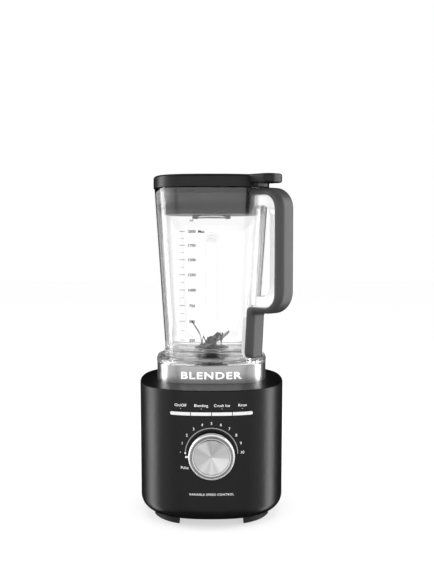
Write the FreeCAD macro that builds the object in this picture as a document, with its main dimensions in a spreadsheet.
import FreeCAD, Part

import math
import os

import Sketcher
from FreeCAD import Placement, Rotation, Vector

# A countertop blender: black base with a motor, a clear rounded-square jar with a diagonal handle,
# a blade unit in the jar's floor, and a lid with a measuring cap.
# Frame: millimetres, +Z up, the front is -Y, and the feet stand on Z = 0.
# Every sub-part is modelled about the jar's axis and then moved by jar_axis_x and jar_axis_y,
# which puts the origin under the middle of the whole object.

os.makedirs("parts", exist_ok=True)
doc = FreeCAD.newDocument("countertop_blender")

# ---------------------------------------------------------------- driving dimensions
DIMENSIONS = {
    "where the jar's axis stands": {
        "jar_axis_x": -3.6, "jar_axis_y": 24.5},
    "base": {
        "base_half_width": 89, "base_half_depth": 101.5, "base_forward": 18.5, "base_lowest": 8,
        "base_round": 14, "deck_height": 162.6, "deck_edge_round": 1.6, "base_wall": 3,
        "base_lip": 5, "foot_wide": 13, "foot_gap_x": 38,
        "foot_gap_y": 42, "post_x": 56, "post_reach": 30, "post_radius": 5, "inlet_height": 34},
    "collar and seat": {
        "collar_half": 68.8, "collar_top": 184, "collar_thick": 1.3, "seat_wall": 5,
        "seat_floor": 166, "pad_top": 168, "seat_hole": 17},
    "motor": {
        "shaft_radius": 4, "shaft_low": 30, "shaft_high": 177, "stack_low": 86, "stack_high": 128,
        "yoke_radius": 42, "bore_radius": 23.4, "rotor_radius": 22.7, "coil_head": 8,
        "fan_radius": 36, "fan_low": 34, "fan_high": 45, "commutator_radius": 11.5,
        "commutator_low": 62, "commutator_high": 75, "upper_plate": 141, "lower_plate": 50,
        "plate_thick": 5, "bearing_radius": 8, "bearing_gap": 0.05, "through_screw_reach": 38},
    "controls": {
        "dial_height": 88.6, "knob_radius": 26.7, "knob_depth": 15.5, "skirt_depth": 6.5, "cap_radius": 20.6,
        "dial_shaft_radius": 3, "board_setback": 92, "board_half_width": 48, "board_thick": 1.6,
        "key_height": 135.8, "key_tall": 3.8, "key_wide": 23.4, "key_pitch": 24.25,
        "key_travel": 1, "key_proud": 1.1, "key_back": 101},
    "jar": {
        "jar_wall": 3, "jar_foot_half": 69.1, "jar_foot_low": 184.3, "jar_foot_edge": 188.7,
        "jar_waist": 203, "jar_waist_half": 58.7, "jar_rim": 400, "jar_rim_half": 71.6,
        "jar_floor": 196, "jar_floor_under": 190, "flute_radius": 17, "flute_depth": 4.2,
        "flute_top": 331},
    "handle": {
        "handle_turn": -45, "frame_inner": 110, "frame_outer": 118.4, "grip_reach": 127.7,
        "grip_half": 14, "frame_half": 12.5, "grip_low": 248, "grip_high": 398.4,
        "frame_low": 255, "frame_high": 390.2, "gap_low": 268.5, "gap_high": 377.5,
        "rib_low": 191, "rib_foot": 70, "rib_head": 74.7, "column_foot": 78.8, "column_head": 82.3,
        "grip_round": 8},
    "blades": {
        "floor_hole": 14.5, "stem_radius": 14, "flange_radius": 22, "blade_level": 205,
        "blade_thick": 1.5, "spindle_top": 213, "coupler_low": 171, "coupler_radius": 17},
    "lid": {
        "lid_half": 73, "lid_low": 400.3, "lid_top": 415.4, "plug_half": 63.6,
        "plug_low": 367.8, "neck_radius": 24.6, "neck_low": 363.2, "cap_outer": 21.8,
        "cap_low": 363.6, "cap_flange": 27, "tab_reach": 111, "tab_half": 15},
}
sheet = doc.addObject("Spreadsheet::Sheet", "Dims")
row = 0
for group, cells in DIMENSIONS.items():
    row += 1
    sheet.set(f"A{row}", group)
    for alias, value in cells.items():
        row += 1
        sheet.set(f"A{row}", alias)
        sheet.set(f"B{row}", str(value))
        sheet.setAlias(f"B{row}", alias)
doc.recompute()


def size(alias):
    """The value of one cell of the sheet, for shapes that are set in code."""
    return float(sheet.get(alias))


PIECES = []


def finish(obj, label):
    """Name a finished sub-part and put it on the jar's axis."""
    obj.Label = label
    obj.setExpression("Placement.Base.x", "Dims.jar_axis_x")
    obj.setExpression("Placement.Base.y", "Dims.jar_axis_y")
    PIECES.append(obj)
    return obj


# ---------------------------------------------------------------- primitives bound to the sheet
def bind(obj, **formulas):
    """Bind properties to formulas; place_x, place_y and place_z bind the position."""
    for name, formula in formulas.items():
        if name.startswith("place_"):
            obj.setExpression("Placement.Base." + name[-1], str(formula))
        else:
            obj.setExpression(name, str(formula))
    return obj


def rod(name, radius, low, high, x="0", y="0"):
    """An upright cylinder from one height to another."""
    return bind(doc.addObject("Part::Cylinder", name), Radius=radius, Height=f"({high}) - ({low})",
                place_x=x, place_y=y, place_z=low)


def lying_rod(name, radius, front, back, x, z):
    """A cylinder along Y, from its front end to its back end, both given as distances ahead of the axis."""
    obj = doc.addObject("Part::Cylinder", name)
    obj.Placement = Placement(Vector(0, 0, 0), Rotation(Vector(1, 0, 0), 90))
    return bind(obj, Radius=radius, Height=f"({front}) - ({back})",
                place_x=x, place_y=f"-({back})", place_z=z)


def block(name, wide, deep, tall, x, y, z):
    """A box centred on x and y, standing on z."""
    return bind(doc.addObject("Part::Box", name), Length=wide, Width=deep, Height=tall,
                place_x=f"({x}) - ({wide}) / 2", place_y=f"({y}) - ({deep}) / 2", place_z=z)


def cut(name, base, *tools):
    """Base with every tool taken away."""
    tool = tools[0] if len(tools) == 1 else fuse(name + "_tools", *tools)
    obj = doc.addObject("Part::Cut", name)
    obj.Base, obj.Tool = base, tool
    return obj


def fuse(name, *shapes):
    """One solid, or a group of separate solids, out of several."""
    obj = doc.addObject("Part::MultiFuse", name)
    obj.Shapes = list(shapes)
    return obj


def in_code(name, shape):
    """A sub-part or a tool whose shape is made with Part's own functions."""
    obj = doc.addObject("Part::Feature", name)
    obj.Shape = shape
    return obj


def around(count, make, start=0.0):
    """Copies of a shape turned about the Z axis, as one list."""
    copies = []
    for number in range(count):
        shape = make.copy()
        shape.rotate(Vector(0, 0, 0), Vector(0, 0, 1), start + 360.0 * number / count)
        copies.append(shape)
    return copies


# ---------------------------------------------------------------- turned parts with a sketch
def turned(name, profile, upright=True):
    """A PartDesign body turned about its own axis from a closed profile of (radius, height) formulas.

    Each corner of the sketch is held by one horizontal and one vertical distance to the origin.
    """
    body = doc.addObject("PartDesign::Body", name)
    plane = [item for item in body.Origin.OriginFeatures if item.Role == "XZ_Plane"][0]
    sketch = body.newObject("Sketcher::SketchObject", name + "_profile")
    sketch.AttachmentSupport = [(plane, "")]
    sketch.MapMode = "FlatFace"
    count = len(profile)
    around_start = [Vector(10 + math.cos(2 * math.pi * k / count), math.sin(2 * math.pi * k / count), 0)
                    for k in range(count)]
    for k in range(count):
        sketch.addGeometry(Part.LineSegment(around_start[k], around_start[(k + 1) % count]), False)
    for k in range(count):
        sketch.addConstraint(Sketcher.Constraint("Coincident", k, 2, (k + 1) % count, 1))
    for k, (radius, height) in enumerate(profile):
        for kind, formula in (("DistanceX", radius), ("DistanceY", height)):
            index = sketch.addConstraint(Sketcher.Constraint(kind, -1, 1, k, 1, 1.0))
            sketch.setExpression(f"Constraints[{index}]", str(formula))
    turn = body.newObject("PartDesign::Revolution", name + "_turn")
    turn.Profile = sketch
    turn.ReferenceAxis = (sketch, ["V_Axis"])
    turn.Angle = 360
    body.Tip = turn
    return body


# ---------------------------------------------------------------- rounded-square outlines
def squircle(half_x, front, back, forward, level, power, count=32):
    """A closed wire, |x/a|^n + |y/b|^n = 1, with its own half-depth to the front and to the back."""
    points = []
    for k in range(count):
        angle = 2 * math.pi * (k + 0.5) / count
        c, s = math.cos(angle), math.sin(angle)
        x = half_x * math.copysign(abs(c) ** (2 / power), c)
        reach = back if s > 0 else front
        y = reach * math.copysign(abs(s) ** (2 / power), s) - forward
        points.append(Vector(x, y, level))
    curve = Part.BSplineCurve()
    curve.interpolate(Points=points, PeriodicFlag=True)
    return Part.Wire([curve.toShape()])


def square_loft(levels, power):
    """A solid through rounded squares, each given as (half width, height), with straight sides between."""
    wires = [squircle(half, half, half, 0, level, power) for half, level in levels]
    return Part.makeLoft(wires, True, True)


JAR_POWER, BASE_POWER, LID_POWER = 3.2, 2.6, 2.9
FLARE_STEPS, ROUND_STEPS, EDGE_STEPS = 6, 8, 3


def base_block(inset, low, high, rounding=0.0, edge=0.0, taper=0.8):
    """The base's outer form, or one a little smaller: upright, rounded below and along its top edge."""
    levels = []
    for k in range(ROUND_STEPS + 1 if rounding else 0):
        turn = math.radians(90.0 * k / ROUND_STEPS)
        levels.append((rounding * (1 - math.sin(turn)) + taper, low + rounding * (1 - math.cos(turn))))
    if not rounding:
        levels.append((taper, low))
    for k in range(EDGE_STEPS + 1 if edge else 0):
        turn = math.radians(90.0 * k / EDGE_STEPS)
        levels.append((edge * (1 - math.cos(turn)), high - edge * (1 - math.sin(turn))))
    if not edge:
        levels.append((0.0, high))
    half, deep = size("base_half_width") - inset, size("base_half_depth") - inset
    wires = [squircle(half - more, deep - more, deep - more, size("base_forward"), level, BASE_POWER)
             for more, level in levels]
    return Part.makeLoft(wires, True, True)


# ---------------------------------------------------------------- base shell
FRONT = "(Dims.base_half_depth + Dims.base_forward)"
BACK = "(Dims.base_half_depth - Dims.base_forward)"
POSTS = [(sx, sy) for sx in (-1, 1) for sy in (-1, 1)]


def key_bar(grow):
    """A long bar along X with round ends, through the front wall at the keys' height."""
    radius = size("key_tall") / 2 + grow
    half = 2 * size("key_pitch") - (size("key_pitch") - size("key_wide")) / 2 + grow - radius
    near, deep = -size("base_half_depth") - size("base_forward") - 10, 40
    bar = Part.makeBox(2 * half, deep, 2 * radius, Vector(-half, near, size("key_height") - radius))
    for side in (-half, half):
        end = Part.makeCylinder(radius, deep, Vector(side, near, size("key_height")), Vector(0, 1, 0))
        bar = bar.fuse(end)
    return bar.removeSplitter()


def make_base():
    deck, wall, lowest = size("deck_height"), size("base_wall"), size("base_lowest")
    outer = base_block(0, lowest, deck, size("base_round"), size("deck_edge_round"))
    inner = base_block(wall, lowest + wall, deck - wall, size("base_round") - 1)
    mouth = base_block(size("base_round") + size("base_lip"), lowest - 5, lowest + 2 * wall)
    shell = outer.cut(inner).cut(mouth)
    for sx, sy in POSTS:
        x = sx * size("post_x")
        y = sy * size("post_reach") - size("base_forward")
        post = Part.makeCylinder(size("post_radius"), deck - wall - 11.4, Vector(x, y, 11.6))
        bore = Part.makeCylinder(1.4, 18, Vector(x, y, 11))
        shell = shell.fuse(post).cut(bore)
    vents = []
    back = size("base_half_depth") - size("base_forward")
    for k in range(-5, 6):
        vents.append(Part.makeBox(3, 24, 26, Vector(k * 8 - 1.5, back - 18, 92)))
    shell = in_code("base_shell_form", shell.cut(Part.makeCompound(vents)))
    shaft_hole = rod("deck_hole", "Dims.bearing_radius + 4", "Dims.deck_height - 10", "Dims.deck_height + 2")
    dial_hole = lying_rod("dial_hole", "Dims.dial_shaft_radius + 1.5", FRONT + " + 5", FRONT + " - 30",
                          "0", "Dims.dial_height")
    key_slot = in_code("key_slot", key_bar(1.4))
    gland_hole = lying_rod("gland_hole", "7.2", f"-{BACK} + 20", f"-{BACK} - 6", "0", "Dims.inlet_height")
    finish(cut("base_housing_cut", shell, shaft_hole, dial_hole, key_slot, gland_hole), "base_housing")

    plate = in_code("base_bottom_form", base_block(size("base_round") + size("base_lip") + 0.3,
                                                   lowest, lowest + 3.3))
    slots = [block(f"intake_{k}", "60", "3", "8", "0", f"{k * 8}", "Dims.base_lowest - 2")
             for k in range(-4, 5)]
    holes = [rod(f"bottom_hole_{k}", "1.8", "Dims.base_lowest - 1", "Dims.base_lowest + 5",
                 f"{sx} * Dims.post_x", f"{sy} * Dims.post_reach - Dims.base_forward")
             for k, (sx, sy) in enumerate(POSTS)]
    finish(cut("base_bottom_cut", plate, *slots, *holes), "base_bottom")

    screws = []
    for k, (sx, sy) in enumerate(POSTS):
        x, y = f"{sx} * Dims.post_x", f"{sy} * Dims.post_reach - Dims.base_forward"
        screws += [rod(f"housing_screw_{k}", "1.4", "Dims.base_lowest - 0.5", "Dims.base_lowest + 14", x, y),
                   rod(f"housing_head_{k}", "3", "Dims.base_lowest - 2", "Dims.base_lowest - 0.0", x, y)]
    finish(fuse("housing_screws_group", *screws), "housing_screws")

    foot_inset = size("base_round") + 0.6
    ring = base_block(foot_inset, 0, lowest, edge=0, rounding=1.2, taper=0.4)
    ring = ring.cut(base_block(foot_inset + size("foot_wide"), -1, lowest + 1))
    gap_x, gap_y, far = size("foot_gap_x"), size("foot_gap_y"), 300
    across = Part.makeBox(2 * gap_x, far, 20, Vector(-gap_x, -far / 2, -5))
    along = Part.makeBox(far, 2 * gap_y, 20, Vector(-far / 2, -gap_y - size("base_forward"), -5))
    finish(in_code("rubber_feet_form", ring.cut(across).cut(along)), "rubber_feet")


make_base()


# ---------------------------------------------------------------- collar, seat and pad
def square_ring(outside, inside, low, high, power=JAR_POWER):
    """A rounded-square ring with upright walls."""
    outer = square_loft([(outside, low), (outside, high)], power)
    return outer.cut(square_loft([(inside, low - 1), (inside, high + 1)], power))


def make_collar():
    half, deck, top = size("collar_half"), size("deck_height"), size("collar_top")
    band = square_ring(half, half - size("collar_thick"), deck, top)
    curl = square_ring(half, half - 3.4, top - 1.2, top)
    band = band.fuse(curl)
    rim = [edge for edge in band.Edges if edge.BoundBox.ZMin > top - 0.01 and edge.BoundBox.XMax > half - 0.5]
    finish(in_code("collar_band_form", band.makeFillet(0.55, rim)), "collar_band")
    seat_half = half - size("collar_thick")
    seat = square_ring(seat_half, seat_half - size("seat_wall"), deck, top - 1.2)
    floor = square_loft([(seat_half - 1, deck), (seat_half - 1, size("seat_floor"))], JAR_POWER)
    floor = floor.cut(Part.makeCylinder(size("seat_hole"), 10, Vector(0, 0, deck - 2)))
    finish(in_code("jar_seat_form", seat.fuse(floor)), "jar_seat")
    pad = square_ring(seat_half - size("seat_wall") - 1, 40, size("seat_floor"), size("pad_top"))
    finish(in_code("seat_pad_form", pad), "seat_pad")


make_collar()


# ---------------------------------------------------------------- motor
def sector(inner, outer, low, high, centre, span):
    """A slice of a ring, centred on an angle, span degrees wide."""
    ring = Part.makeCylinder(outer, high - low, Vector(0, 0, low), Vector(0, 0, 1), span)
    ring = ring.cut(Part.makeCylinder(inner, high - low + 2, Vector(0, 0, low - 1)))
    ring.rotate(Vector(0, 0, 0), Vector(0, 0, 1), centre - span / 2.0)
    return ring


def make_stator():
    low, high, yoke = size("stack_low"), size("stack_high"), size("yoke_radius")
    bore, reach = size("bore_radius"), size("through_screw_reach")
    stack = Part.makeCylinder(yoke, high - low, Vector(0, 0, low))
    stack = stack.cut(Part.makeCylinder(34, high - low + 2, Vector(0, 0, low - 1)))
    for side in (0, 180):
        stack = stack.fuse(sector(bore, 26.5, low, high, side, 118))
        stack = stack.fuse(sector(26, 35, low, high, side, 44))
    for screw in around(4, Part.makeCylinder(2.3, high - low + 2, Vector(reach, 0, low - 1)), 45):
        stack = stack.cut(screw)
    finish(in_code("motor_stator_form", stack.removeSplitter()), "motor_stator")
    coils = []
    for side in (0, 180):
        coil = sector(27, 33.6, low - size("coil_head"), high + size("coil_head"), side, 104)
        coils.append(coil.cut(sector(20, 40, low - 0.4, high + 0.4, side, 46)))
    finish(in_code("field_coils_form", Part.makeCompound(coils)), "field_coils")


make_stator()

PLATE_TOP = "(Dims.upper_plate + Dims.plate_thick)"


def bracket(name, plate_low, boss_low, boss_high, mounts):
    """A cross-shaped bearing bracket with a boss and holes for the long motor screws."""
    arms = []
    for k, turn in enumerate((45, 135)):
        arm = doc.addObject("Part::Box", f"{name}_arm_{k}")
        length = "2 * (Dims.through_screw_reach + 24)" if mounts else "2 * (Dims.through_screw_reach + 6)"
        bind(arm, Length=length, Width="14", Height="Dims.plate_thick")
        arm.Placement = Placement(Vector(0, 0, 0), Rotation(Vector(0, 0, 1), turn))
        angle = math.radians(turn)
        along, across = f"(({length}) / 2)", "7"
        bind(arm, place_x=f"-{along} * {math.cos(angle):.6f} + {across} * {math.sin(angle):.6f}",
             place_y=f"-{along} * {math.sin(angle):.6f} - {across} * {math.cos(angle):.6f}",
             place_z=plate_low)
        arms.append(arm)
    disc = rod(f"{name}_disc", "22", plate_low, f"{plate_low} + Dims.plate_thick")
    boss = rod(f"{name}_boss", "Dims.bearing_radius + 3", boss_low, boss_high)
    bore = rod(f"{name}_bore", "Dims.bearing_radius", f"{boss_low} - 1", f"{boss_high} + 1")
    diagonal = "Dims.through_screw_reach * 0.70711"
    holes = [rod(f"{name}_hole_{k}", "2.2", f"{plate_low} - 1", f"{plate_low} + Dims.plate_thick + 1",
                 f"{sx} * {diagonal}", f"{sy} * {diagonal}") for k, (sx, sy) in enumerate(POSTS)]
    return cut(name + "_cut", fuse(name + "_solid", *arms, disc, boss), bore, *holes)


def make_motor_frame():
    finish(bracket("motor_bracket_upper", "Dims.upper_plate", "Dims.upper_plate - 4",
                   "Dims.upper_plate + 9", True), "motor_bracket_upper")
    finish(bracket("motor_bracket_lower", "Dims.lower_plate", "Dims.lower_plate - 2",
                   "Dims.lower_plate + 9", False), "motor_bracket_lower")
    bushes = []
    for k, (low, high) in enumerate((("Dims.upper_plate - 4", "Dims.upper_plate + 9"),
                                     ("Dims.lower_plate - 2", "Dims.lower_plate + 9"))):
        bush = rod(f"motor_bush_{k}", "Dims.bearing_radius", low, high)
        bore = rod(f"motor_bush_bore_{k}", "Dims.shaft_radius + Dims.bearing_gap",
                   f"{low} - 1", f"{high} + 1")
        bushes.append(cut(f"motor_bush_cut_{k}", bush, bore))
    finish(fuse("motor_bearings_group", *bushes), "motor_bearings")
    diagonal = "Dims.through_screw_reach * 0.70711"
    screws, mounts, nuts = [], [], []
    for k, (sx, sy) in enumerate(POSTS):
        x, y = f"{sx} * {diagonal}", f"{sy} * {diagonal}"
        screws.append(rod(f"motor_screw_{k}", "2", "Dims.lower_plate - 3", f"{PLATE_TOP} + 0.5", x, y))
        nuts.append(rod(f"motor_head_{k}", "4", f"{PLATE_TOP}", f"{PLATE_TOP} + 3", x, y))
        far = "(Dims.through_screw_reach + 17) * 0.70711"
        mounts.append(rod(f"motor_mount_{k}", "6", PLATE_TOP, "Dims.deck_height - Dims.base_wall",
                          f"{sx} * {far}", f"{sy} * {far}"))
    finish(fuse("motor_screws_group", *screws, *nuts), "motor_screws")
    finish(fuse("motor_mounts_group", *mounts), "motor_mounts")
    holders, brushes = [], []
    for k, side in enumerate((-1, 1)):
        middle = "(Dims.commutator_low + Dims.commutator_high) / 2"
        tube = block(f"brush_tube_{k}", "11", "19", "11", "0", f"{side} * 24.5", f"{middle} - 5.5")
        hole = block(f"brush_tube_hole_{k}", "7", "22", "7", "0", f"{side} * 24.5", f"{middle} - 3.5")
        foot = block(f"brush_foot_{k}", "11", "6", f"{middle} - 5.4 - Dims.lower_plate - Dims.plate_thick",
                     "0", f"{side} * 18", "Dims.lower_plate + Dims.plate_thick")
        holders.append(fuse(f"brush_holder_{k}", cut(f"brush_tube_cut_{k}", tube, hole), foot))
        brushes.append(block(f"carbon_brush_{k}", "6.6", "16", "6.6", "0",
                             f"{side} * (Dims.commutator_radius + 8.3)", f"{middle} - 3.3"))
    finish(fuse("brush_holders_group", *holders), "brush_holders")
    finish(fuse("carbon_brushes_group", *brushes), "carbon_brushes")


make_motor_frame()


def make_rotor():
    finish(turned("motor_shaft_body", [
        ("0", "Dims.shaft_low"), ("Dims.shaft_radius", "Dims.shaft_low"),
        ("Dims.shaft_radius", "Dims.shaft_high"), ("0", "Dims.shaft_high")]), "motor_shaft")
    low, high, radius = size("stack_low"), size("stack_high"), size("rotor_radius")
    shaft = size("shaft_radius")
    core = Part.makeCylinder(radius, high - low, Vector(0, 0, low))
    slot = Part.makeBox(8, 2.2, high - low + 2, Vector(radius - 7.5, -1.1, low - 1))
    for groove in around(12, slot):
        core = core.cut(groove)
    for bottom in (low - 7, high):
        core = core.fuse(Part.makeCylinder(18.5, 7, Vector(0, 0, bottom)))
    core = core.cut(Part.makeCylinder(shaft, 90, Vector(0, 0, low - 20)))
    finish(in_code("armature_form", core), "armature")
    bars = rod("commutator_bars", "Dims.commutator_radius", "Dims.commutator_low", "Dims.commutator_high")
    hub = rod("commutator_hole", "Dims.shaft_radius", "Dims.commutator_low - 1", "Dims.commutator_high + 1")
    finish(cut("commutator_cut", bars, hub), "commutator")
    bottom, top, reach = size("fan_low"), size("fan_high"), size("fan_radius")
    disc = Part.makeCylinder(reach, 1.8, Vector(0, 0, top - 1.8))
    disc = disc.fuse(Part.makeCylinder(9, top - bottom, Vector(0, 0, bottom)))
    vane = Part.makeBox(reach - 9, 1.6, top - bottom - 1, Vector(8.5, -0.8, bottom))
    vane.rotate(Vector(9, 0, 0), Vector(0, 0, 1), 22)
    fan = disc.fuse(around(9, vane)).common(Part.makeCylinder(reach, 40, Vector(0, 0, bottom)))
    fan = fan.cut(Part.makeCylinder(shaft, 40, Vector(0, 0, bottom - 5)))
    finish(in_code("cooling_fan_form", fan.removeSplitter()), "cooling_fan")
    base, top = size("pad_top") + 0.6, size("shaft_high") + 1.2
    star = Part.makeCylinder(9, top - base, Vector(0, 0, base))
    star = star.fuse(Part.makeCylinder(14.5, 1.6, Vector(0, 0, base)))
    tooth = Part.makeBox(4.5, 4.4, top - base, Vector(8.4, -2.2, base))
    star = star.fuse(around(6, tooth))
    star = star.cut(Part.makeCylinder(shaft, 30, Vector(0, 0, base - 30 + (size("shaft_high") - base))))
    finish(in_code("drive_coupler_form", star.removeSplitter()), "drive_coupler")


make_rotor()


# ---------------------------------------------------------------- controls
def front_skin(proud, low, high):
    """The base's form grown outwards, to give the keys and their frame the base's curved front."""
    half, deep = size("base_half_width") + proud, size("base_half_depth") + proud
    wires = [squircle(half - taper, deep - taper, deep - taper, size("base_forward"), level, BASE_POWER)
             for level, taper in ((low, 0.1), (high, 0.1))]
    return Part.makeLoft(wires, True, True)


def make_controls():
    height, tall = size("key_height"), size("key_tall")
    pitch, wide = size("key_pitch"), size("key_wide")
    front = size("base_half_depth") + size("base_forward")
    skin = front_skin(size("key_proud"), height - 8, height + 8)
    for k, name in enumerate(("key_power", "key_blend", "key_crush", "key_rinse")):
        x = (k - 1.5) * pitch
        cap = Part.makeBox(wide, 40, tall, Vector(x - wide / 2, -front - 10, height - tall / 2))
        cap = cap.common(key_bar(0)).common(skin)
        back = Part.makeBox(wide + 2, 60, 20, Vector(x - wide / 2 - 1, -size("key_back"), height - 10))
        cap = cap.cut(back)
        finish(in_code(name + "_form", cap), name)
    frame = key_bar(1.3).common(front_skin(0.35, height - 8, height + 8))
    frame = frame.cut(key_bar(0.4)).cut(front_skin(-5.5, height - 9, height + 9))
    finish(in_code("key_frame_form", frame), "key_frame")

    board = block("board_plate", "2 * Dims.board_half_width", "Dims.board_thick", "92", "0",
                  "-Dims.board_setback + Dims.board_thick / 2", "60")
    hole = lying_rod("board_hole", "4.5", "Dims.board_setback + 5", "Dims.board_setback - 5",
                     "0", "Dims.dial_height")
    finish(cut("control_board_cut", board, hole), "control_board")
    switches = []
    for k in range(4):
        x = f"{k - 1.5} * Dims.key_pitch"
        switches += [block(f"switch_body_{k}", "6.2", "4", "6.2", x, "-Dims.board_setback - 2",
                           "Dims.key_height - 3.1"),
                     lying_rod(f"switch_stem_{k}", "1.6", "Dims.key_back - Dims.key_travel - 0.3",
                               "Dims.board_setback + 3.5", x, "Dims.key_height")]
    finish(fuse("key_switches_group", *switches), "key_switches")
    case = block("encoder_case", "26", "12", "26", "0", "-Dims.board_setback + Dims.board_thick + 6",
                 "Dims.dial_height - 13")
    neck = lying_rod("encoder_neck", "4.4", "Dims.board_setback + 9", "Dims.board_setback - 3",
                     "0", "Dims.dial_height")
    well = lying_rod("encoder_well", "Dims.dial_shaft_radius + 0.05", "Dims.board_setback + 12",
                     "Dims.board_setback - 9", "0", "Dims.dial_height")
    finish(cut("speed_control_cut", fuse("encoder_solid", case, neck), well), "speed_control")
    board_screws = []
    for k, (sx, z) in enumerate(((-1, 66), (1, 66), (-1, 146), (1, 146))):
        x = f"{sx} * (Dims.board_half_width - 5)"
        board_screws += [lying_rod(f"board_screw_{k}", "2.8", "Dims.board_setback + 2",
                                   "Dims.board_setback", x, f"{z}")]
    finish(fuse("board_screws_group", *board_screws), "board_screws")


make_controls()


def lay_forward(body, height):
    """Turn a body made about Z so that its axis points to the front, at the dial's height."""
    body.Placement = Placement(Vector(0, 0, 0), Rotation(Vector(1, 0, 0), 90))
    body.setExpression("Placement.Base.z", height)
    return body


def finish_dial(body, label):
    lay_forward(body, "Dims.dial_height")
    finish(body, label)
    body.setExpression("Placement.Base.z", "Dims.dial_height")


def make_dial():
    base = FRONT + " + 0.6"
    tip = f"({base} + Dims.knob_depth)"
    joint = f"({base} + Dims.skirt_depth)"
    finish_dial(turned("dial_knob_body", [
        ("Dims.dial_shaft_radius", base), ("Dims.knob_radius - 0.6", base),
        ("Dims.knob_radius", f"{base} + 1"),
        ("Dims.knob_radius", f"{joint} - 0.6"), ("Dims.knob_radius - 1.2", joint),
        ("Dims.knob_radius - 6.5", joint), ("Dims.knob_radius - 6.5", f"{tip} - 3"),
        ("Dims.dial_shaft_radius", f"{tip} - 3")]), "dial_knob")
    finish_dial(turned("dial_ring_body", [
        ("Dims.knob_radius - 1.2", joint), ("Dims.knob_radius - 0.2", f"{joint} + 0.5"),
        ("Dims.knob_radius - 0.2", f"{tip} - 2.4"), ("Dims.knob_radius - 0.9", f"{tip} - 1.1"),
        ("Dims.knob_radius - 1.9", f"{tip} - 0.9"), ("Dims.knob_radius - 2.5", f"{tip} - 1.7"),
        ("Dims.knob_radius - 2.6", f"{tip} - 3.2"), ("Dims.knob_radius - 4.1", f"{tip} - 3.2"),
        ("Dims.knob_radius - 4.2", f"{tip} - 0.7"), ("Dims.knob_radius - 4.8", f"{tip} - 0.1"),
        ("Dims.knob_radius - 5.6", f"{tip} - 0.2"), ("Dims.cap_radius + 0.15", f"{tip} - 0.9"),
        ("Dims.cap_radius + 0.15", f"{tip} - 3"), ("Dims.knob_radius - 6.5", f"{tip} - 3"),
        ("Dims.knob_radius - 6.5", joint)]), "dial_ring")
    finish_dial(turned("dial_cap_body", [
        ("0", f"{tip} - 3"), ("Dims.cap_radius", f"{tip} - 3"), ("Dims.cap_radius", f"{tip} - 0.6"),
        ("Dims.cap_radius - 0.8", f"{tip}"), ("0", f"{tip} - 1.3")]), "dial_cap")
    finish_dial(turned("dial_shaft_body", [
        ("0", "Dims.board_setback - 8"), ("Dims.dial_shaft_radius", "Dims.board_setback - 8"),
        ("Dims.dial_shaft_radius", f"{tip} - 3"), ("0", f"{tip} - 3")]), "dial_shaft")
    mark = block("dial_pointer_nib", "3.6", "3", "1.9", "0", "0", "Dims.dial_height - 0.95")
    finish(mark, "dial_pointer")
    mark.setExpression("Placement.Base.x", "Dims.jar_axis_x - Dims.knob_radius - 3.4")
    mark.setExpression("Placement.Base.y", f"Dims.jar_axis_y - {tip} + 3.2")


make_dial()


def make_inlet():
    """The cord gland in the back wall, and the terminal block behind it."""
    gland = turned("cord_gland_body", [
        ("3.6", f"{BACK} - 14"), ("7", f"{BACK} - 14"), ("7", f"{BACK} + 0.1"), ("9.5", f"{BACK} + 0.1"),
        ("8.6", f"{BACK} + 2.4"), ("6.4", f"{BACK} + 5"), ("3.6", f"{BACK} + 5")])
    gland.Placement = Placement(Vector(0, 0, 0), Rotation(Vector(1, 0, 0), -90))
    finish(gland, "cord_gland")
    gland.setExpression("Placement.Base.z", "Dims.inlet_height")
    terminals = block("terminal_block_body", "24", "12", "10", "0", "0", "Dims.base_lowest + 3.3")
    finish(terminals, "terminal_block")
    terminals.setExpression("Placement.Base.x", "Dims.jar_axis_x - 12")
    terminals.setExpression("Placement.Base.y", "Dims.jar_axis_y + 46")


make_inlet()


# ---------------------------------------------------------------- jar
def jar_half(level):
    """Half the jar's outside width at a height, along its straight taper."""
    share = (level - size("jar_waist")) / (size("jar_rim") - size("jar_waist"))
    return size("jar_waist_half") + share * (size("jar_rim_half") - size("jar_waist_half"))


def jar_corner(level):
    """How far the jar's corner stands from the axis at a height, along the diagonal."""
    return jar_half(level) * 2 ** (0.5 - 1 / JAR_POWER)


def flute(side, extra):
    """The round hollow down the middle of one wall, grown by extra; its axis leans with the wall."""
    radius = size("flute_radius") + extra
    low, high = size("jar_waist") - 6, size("flute_top")
    away = size("flute_radius") - size("flute_depth")
    start = Vector(jar_half(low) + away, 0, low)
    end = Vector(jar_half(high) + away, 0, high)
    tool = Part.makeCylinder(radius, (end - start).Length, start, end - start)
    tool = tool.fuse(Part.makeSphere(radius, end))
    tool.rotate(Vector(0, 0, 0), Vector(0, 0, 1), side)
    return tool


def jar_outside():
    """The jar without its handle: flared foot, waist and straight tapering walls, as one solid."""
    foot_half, waist_half = size("jar_foot_half"), size("jar_waist_half")
    edge, waist = size("jar_foot_edge"), size("jar_waist")
    levels = [(foot_half, size("jar_foot_low")), (foot_half, edge)]
    for k in range(1, FLARE_STEPS + 1):
        turn = math.radians(90.0 * k / FLARE_STEPS)
        levels.append((foot_half - (foot_half - waist_half) * math.sin(turn),
                       edge + (waist - edge) * (1 - math.cos(turn))))
    levels.append((size("jar_rim_half"), size("jar_rim")))
    return square_loft(levels, JAR_POWER)


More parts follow.
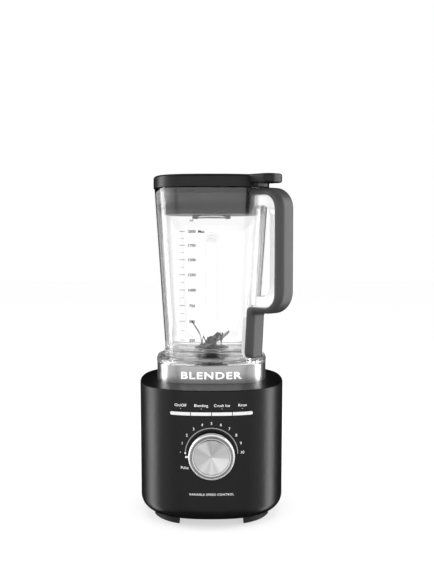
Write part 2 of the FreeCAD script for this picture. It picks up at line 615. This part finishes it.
def make_jar():
    outside = jar_outside()
    body = outside
    wall, floor, rim = size("jar_wall"), size("jar_floor"), size("jar_rim")
    inside = square_loft([(jar_half(floor) - wall, floor), (jar_half(rim + 1) - wall, rim + 1)], JAR_POWER)
    bottom = [edge for edge in inside.Edges if edge.BoundBox.ZMax < floor + 0.01]
    inside = inside.makeFillet(9, bottom)
    for side in (0, 90, 180, 270):
        body = body.cut(flute(side, 0))
        inside = inside.cut(flute(side, wall))
    under = size("jar_floor_under")
    hollow = square_loft([(62.6 - 3.4, size("jar_foot_low") - 1), (62.6 - 3.4, under)], JAR_POWER)
    body = body.cut(inside).cut(hollow)
    spigot = square_ring(59.9, 56.9, size("pad_top") + 0.4, under + 0.5)
    body = body.fuse(spigot)
    body = body.cut(Part.makeCylinder(size("floor_hole"), 20, Vector(0, 0, under - 5)))
    finish(in_code("jar_body_form", body), "jar_body")
    frame = handle_frame().cut(outside)
    frame = sorted(frame.Solids, key=lambda solid: -solid.Volume)[0]
    finish(in_code("jar_handle_form", frame), "jar_handle")
    return outside


def side_profile(points, radii):
    """A closed flat outline in the X-Z plane with its corners rounded."""
    edges = []
    count = len(points)
    trims = []
    for k in range(count):
        here = Vector(points[k][0], 0, points[k][1])
        before = Vector(points[k - 1][0], 0, points[k - 1][1])
        after = Vector(points[(k + 1) % count][0], 0, points[(k + 1) % count][1])
        to_before, to_after = (before - here).normalize(), (after - here).normalize()
        half_angle = to_before.getAngle(to_after) / 2
        reach = radii[k] / math.tan(half_angle)
        start, end = here + to_before * reach, here + to_after * reach
        middle_way = (to_before + to_after).normalize()
        middle = here + middle_way * (radii[k] / math.sin(half_angle) - radii[k])
        trims.append((start, middle, end, radii[k]))
    for k in range(count):
        start, middle, end, radius = trims[k]
        if radius > 0:
            edges.append(Part.Arc(start, middle, end).toShape())
        following = trims[(k + 1) % count][0]
        if (following - end).Length > 1e-6:
            edges.append(Part.LineSegment(end, following).toShape())
    return Part.Wire(edges)


def slab(points, radii, half):
    """A side profile made into a solid, half as thick each way along Y."""
    face = Part.Face(side_profile(points, radii))
    face.translate(Vector(0, -half, 0))
    return face.extrude(Vector(0, 2 * half, 0))


def frame_outline(start, sooner, wider):
    """The outer line of the clear frame: down from the top arm, round the post, and down the jar's corner."""
    low, high, outer = size("frame_low"), size("frame_high"), size("frame_outer")
    points = [(start, size("rib_low") - sooner), (size("rib_foot"), size("rib_low") - sooner),
              (size("rib_head"), low), (outer, low), (outer, high), (start, high)]
    return slab(points, [0, 0, 5, 17, 17, 0], wider)


def handle_frame():
    """The clear frame of the handle: a C with a rib under its foot, in its own turn about the axis."""
    solid = frame_outline(60, 0, size("frame_half"))
    inner, gap_low, gap_high = size("frame_inner"), size("gap_low"), size("gap_high")
    gap = slab([(jar_corner(gap_low) + 2, gap_low), (inner, gap_low), (inner, gap_high),
                (jar_corner(gap_high) + 2, gap_high)], [7, 13, 13, 9], 30)
    solid = solid.cut(gap)
    solid.rotate(Vector(0, 0, 0), Vector(0, 0, 1), size("handle_turn"))
    return solid


def make_grip(jar_form):
    """The black cover: over the top arm, down the outside, back under, and down the jar's corner."""
    reach, half, low, high = size("grip_reach"), size("grip_half"), size("grip_low"), size("grip_high")
    foot = size("rib_low") + 1
    outside = slab([(60, foot), (size("column_foot"), foot), (size("column_head"), low),
                    (reach, low), (reach, high), (76, high)], [0, 3, 6, 27, 25, 0], half)
    long_edges = [edge for edge in outside.Edges
                  if edge.BoundBox.YLength < 1e-6 and edge.BoundBox.XMax > 78.5
                  and edge.BoundBox.ZMax > foot + 0.1]
    outside = outside.makeFillet(size("grip_round"), long_edges)
    cover = outside.cut(frame_outline(40, 5, half + 5))
    cover.rotate(Vector(0, 0, 0), Vector(0, 0, 1), size("handle_turn"))
    cover = cover.cut(jar_form)
    solids = sorted(cover.Solids, key=lambda solid: -solid.Volume)
    finish(in_code("handle_grip_form", solids[0]), "handle_grip")


make_grip(make_jar())


# ---------------------------------------------------------------- blade unit
def hexagon(radius, low, tall):
    """An upright hexagonal prism about the axis, measured over its corners."""
    corners = [Vector(radius * math.cos(math.radians(60 * k)), radius * math.sin(math.radians(60 * k)), low)
               for k in range(7)]
    return Part.Face(Part.makePolygon(corners)).extrude(Vector(0, 0, tall))


def make_blade_unit():
    floor, under = "Dims.jar_floor", "Dims.jar_floor_under"
    finish(turned("blade_seal_body", [
        ("Dims.stem_radius + 0.05", floor), ("Dims.flange_radius - 1", floor),
        ("Dims.flange_radius - 1", f"{floor} + 1.5"), ("Dims.stem_radius + 0.05", f"{floor} + 1.5")]),
        "blade_seal")
    bore = "Dims.bearing_radius - 0.5"
    finish(turned("blade_housing_body", [
        (bore, f"{under} - 6.5"), ("Dims.stem_radius", f"{under} - 6.5"),
        ("Dims.stem_radius", f"{floor} + 1.5"), ("Dims.flange_radius", f"{floor} + 1.5"),
        ("Dims.flange_radius", f"{floor} + 3"), ("Dims.flange_radius - 7", f"{floor} + 5"),
        (bore, f"{floor} + 5")]), "blade_housing")
    finish(turned("blade_bearing_body", [
        ("Dims.shaft_radius + Dims.bearing_gap", f"{under} - 5.5"), (bore, f"{under} - 5.5"),
        (bore, f"{floor} + 4"), ("Dims.shaft_radius + Dims.bearing_gap", f"{floor} + 4")]), "blade_bearing")
    nut = hexagon(21, size("jar_floor_under") - 5.5, 5.5)
    nut = nut.cut(Part.makeCylinder(size("stem_radius"), 30, Vector(0, 0, 170)))
    finish(in_code("blade_nut_form", nut), "blade_nut")

    low = "Dims.coupler_low"
    finish(turned("blade_spindle_body", [
        ("0", f"{low} + 8.6"), ("Dims.shaft_radius", f"{low} + 8.6"),
        ("Dims.shaft_radius", "Dims.spindle_top - 1"), ("Dims.shaft_radius - 1", "Dims.spindle_top"),
        ("0", "Dims.spindle_top")]), "blade_spindle")
    bottom, reach = size("coupler_low"), size("coupler_radius")
    cup = Part.makeCylinder(reach - 1.5, 11.5, Vector(0, 0, bottom))
    cup = cup.cut(Part.makeCylinder(13.3, 8.5, Vector(0, 0, bottom - 0.5)))
    lug = Part.makeBox(4.2, 5, 8.2, Vector(9.5, -2.5, bottom))
    hole = Part.makeCylinder(size("shaft_radius"), 30, Vector(0, 0, bottom + 8.6))
    cup = cup.fuse(around(6, lug, 30)).cut(hole)
    finish(in_code("jar_coupler_form", cup.removeSplitter()), "jar_coupler")

    level, thick = size("blade_level"), size("blade_thick")
    hub_low = size("jar_floor") + 5.4
    spacer = Part.makeCylinder(8, level - hub_low, Vector(0, 0, hub_low))
    hole = Part.makeCylinder(size("shaft_radius"), 30, Vector(0, 0, hub_low - 5))
    finish(in_code("blade_spacer_form", spacer.cut(hole)), "blade_spacer")

    def wing(length, root, tip, lean, heading):
        """One swept wing: a tapering strip, tilted about its root, then turned to its heading."""
        outline = Part.makePolygon([Vector(0, -root / 2, 0), Vector(length, -tip / 2 - 2, 0),
                                    Vector(length + 2, tip / 2 - 2, 0), Vector(length * 0.55, root / 2, 0),
                                    Vector(0, root / 2, 0), Vector(0, -root / 2, 0)])
        strip = Part.Face(outline).extrude(Vector(0, 0, thick))
        strip.rotate(Vector(0, 0, thick / 2), Vector(0, 1, 0), -lean)
        strip.translate(Vector(9.5, 0, 0))
        strip.rotate(Vector(0, 0, 0), Vector(0, 0, 1), heading)
        return strip

    def blade(base, wings):
        plate = Part.makeBox(21, 12, thick, Vector(-10.5, -6, 0))
        plate.rotate(Vector(0, 0, 0), Vector(0, 0, 1), wings[0][4])
        whole = plate.fuse([wing(*entry) for entry in wings])
        whole.translate(Vector(0, 0, base))
        hole = Part.makeCylinder(size("shaft_radius"), 60, Vector(0, 0, base - 20))
        return whole.cut(hole).removeSplitter()

    finish(in_code("blade_lower_form", blade(level, [(20, 11, 7, 24, 68), (19, 11, 7, -9, 248)])),
           "blade_lower")
    finish(in_code("blade_upper_form", blade(level + thick, [(17, 11, 7, 42, 8), (29, 11, 6, 58, 188)])),
           "blade_upper")
    nut = hexagon(7, level + 2 * thick, 3.6).cut(hole)
    finish(in_code("blade_top_nut_form", nut), "blade_top_nut")


make_blade_unit()


# ---------------------------------------------------------------- lid and cap
def make_lid():
    half, low, top = size("lid_half"), size("lid_low"), size("lid_top")
    neck, plug_half, plug_low = size("neck_radius"), size("plug_half"), size("plug_low")
    cover = square_loft([(half, low), (half, top)], LID_POWER)
    rim = [edge for edge in cover.Edges if edge.BoundBox.ZMin > top - 0.01]
    cover = cover.makeFillet(3.6, rim)
    tab_low, end, wide = low + 4.2, size("tab_reach"), size("tab_half")
    tab = slab([(20, tab_low), (end, tab_low), (end, top), (20, top)], [0, 0, 0, 0], wide)
    corners = [edge for edge in tab.Edges if edge.BoundBox.XMin > end - 0.01
               and edge.BoundBox.ZLength > 1 and edge.BoundBox.YLength < 0.01]
    tab = tab.makeFillet(11, corners)
    under = Part.makeBox(57, 2 * wide - 8, 9, Vector(30, -wide + 4, low))
    tab = tab.fuse(under)
    rims = [edge for edge in tab.Edges if edge.BoundBox.ZLength < 1e-6 and edge.BoundBox.XMax > end - 12]
    tab = tab.makeFillet(2.4, [edge for edge in rims if edge.BoundBox.ZMin > tab_low - 0.1])
    tab.rotate(Vector(0, 0, 0), Vector(0, 0, 1), size("handle_turn"))
    cover = cover.fuse(tab)
    room = square_loft([(half - 3, low - 1), (half - 3, top - 3)], LID_POWER)
    cover = cover.cut(room)
    cover = cover.cut(Part.makeCylinder(neck + 0.05, 40, Vector(0, 0, top - 20)))
    recess = Part.makeCylinder(size("cap_flange") + 0.4, 4, Vector(0, 0, top - 1.2))
    cover = cover.cut(recess)
    finish(in_code("lid_cover_form", cover), "lid_cover")

    deck = top - 3
    plug = square_loft([(plug_half, plug_low), (plug_half, deck)], JAR_POWER)
    foot = [edge for edge in plug.Edges if edge.BoundBox.ZMax < plug_low + 0.01]
    plug = plug.makeFillet(3.5, foot)
    plug = plug.cut(square_loft([(plug_half - 2.6, plug_low + 2.6), (plug_half - 2.6, deck + 1)], JAR_POWER))
    plug = plug.fuse(square_ring(half - 3.05, plug_half - 1, low, low + 2.6, LID_POWER))
    plug = plug.cut(Part.makeCylinder(neck, 80, Vector(0, 0, 350)))
    groove_low, groove_high = plug_low + 4.2, plug_low + 14.8
    plug = plug.cut(square_ring(plug_half + 4, plug_half - 1, groove_low, groove_high))
    finish(in_code("lid_plug_form", plug), "lid_plug")

    tube = Part.makeCylinder(neck, deck - size("neck_low"), Vector(0, 0, size("neck_low")))
    tube = tube.cut(Part.makeCylinder(size("cap_outer") + 0.5, 80, Vector(0, 0, 350)))
    around_tabs = Part.makeCylinder(neck + 5, plug_low - size("neck_low"),
                                    Vector(0, 0, size("neck_low") - 0.01))
    finish(in_code("lid_neck_form", tube.cut(around_tabs.cut(tabs_of_neck()))), "lid_neck")

    gasket = square_ring(plug_half + 0.9, plug_half - 1, groove_low + 0.05, groove_high - 0.05)
    for k in range(3):
        level = plug_low + 6.9 + 2.5 * k
        reach = jar_half(level) - size("jar_wall") - 0.4
        gasket = gasket.fuse(square_ring(reach, plug_half, level - 0.35, level + 0.35))
    finish(in_code("lid_gasket_form", gasket), "lid_gasket")


def tabs_of_neck():
    """The two short tabs that the neck keeps below the plug, one on each side."""
    reach, low = size("neck_radius") + 1, size("neck_low") - 1
    left = Part.makeBox(8, 40, 20, Vector(-reach, -20, low))
    right = Part.makeBox(8, 40, 20, Vector(reach - 8, -20, low))
    return left.fuse(right)


make_lid()

cap = "Dims.cap_outer"
finish(turned("filler_cap_body", [
    ("0", "Dims.cap_low"), (f"{cap} - 2.6", "Dims.cap_low"), (f"{cap} - 1.4", "Dims.cap_low + 1.4"),
    (cap, "Dims.lid_top - 0.8"), ("Dims.cap_flange - 0.6", "Dims.lid_top - 0.8"),
    ("Dims.cap_flange", "Dims.lid_top"), ("Dims.cap_flange - 0.8", "Dims.lid_top + 1.6"),
    (f"{cap} - 1.8", "Dims.lid_top + 1.6"), (f"{cap} - 3.4", "Dims.cap_low + 2.2"),
    ("0", "Dims.cap_low + 2.2")]), "filler_cap")

# ---------------------------------------------------------------- check and write
doc.recompute()
for obj in doc.Objects:
    if "Invalid" in obj.State or "Error" in obj.State:
        raise RuntimeError(f"{obj.Name} failed: {obj.State}")
for old in os.listdir("parts"):
    if old.endswith(".step"):
        os.remove(os.path.join("parts", old))
for piece in PIECES:
    shape = piece.Shape
    if shape.isNull() or not shape.isValid() or not shape.Solids:
        raise RuntimeError(f"{piece.Label} is not a valid solid")
    shape.exportStep(os.path.join("parts", piece.Label + ".step"))
    box = shape.BoundBox
    print(f"{piece.Label:22s} {len(shape.Solids)} solid(s) {shape.Volume / 1000:9.2f} cm3  "
          f"X {box.XMin:7.1f} {box.XMax:7.1f}  Y {box.YMin:7.1f} {box.YMax:7.1f}  "
          f"Z {box.ZMin:6.1f} {box.ZMax:6.1f}")
whole = Part.makeCompound([piece.Shape for piece in PIECES]).BoundBox
print(f"{len(PIECES)} sub-parts; the whole X {whole.XMin:.1f} {whole.XMax:.1f}  "
      f"Y {whole.YMin:.1f} {whole.YMax:.1f}  Z {whole.ZMin:.1f} {whole.ZMax:.1f}")
